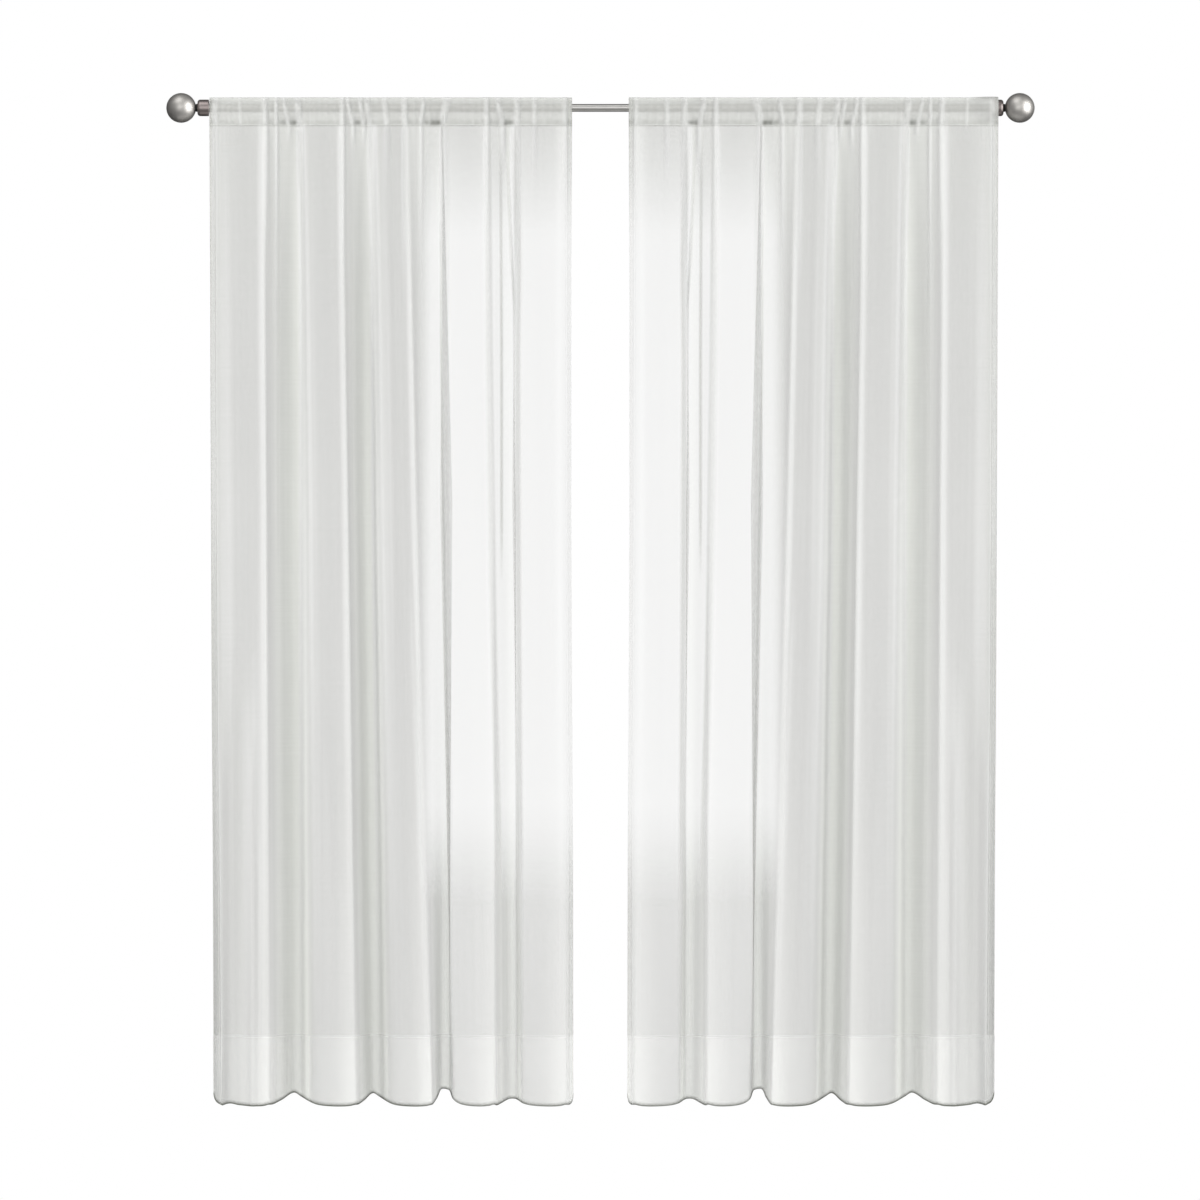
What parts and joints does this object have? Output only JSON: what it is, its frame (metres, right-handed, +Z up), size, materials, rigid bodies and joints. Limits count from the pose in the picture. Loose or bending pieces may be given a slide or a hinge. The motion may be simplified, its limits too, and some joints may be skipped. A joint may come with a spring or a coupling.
{
  "type": "pair of sheer voile curtains on a rod",
  "caption": "Sheer voile panels gathered on rod pockets and hung to the floor in soft uneven folds from a thin metal rod with ball finials.",
  "frame": {"origin": "on the rod's axis, halfway along it", "axes": "+X along the rod, to the right for someone in the room; +Y into the wall; +Z up"},
  "size_m": [1.8382, 0.097, 2.1449],
  "materials": {
    "voile": "sheer plain weave, pale grey-white",
    "rod_metal": "satin nickel",
    "cap_metal": "dark satin nickel",
    "stud": "black",
    "ball_metal": "satin nickel"
  },
  "bodies": {
    "root": {"curtain_left": "voile", "curtain_right": "voile", "rod": "rod_metal", "collar_left": "cap_metal", "collar_right": "cap_metal", "neck_left": "stud", "neck_right": "stud", "finial_left": "ball_metal", "finial_right": "ball_metal"}
  },
  "joints": []
}
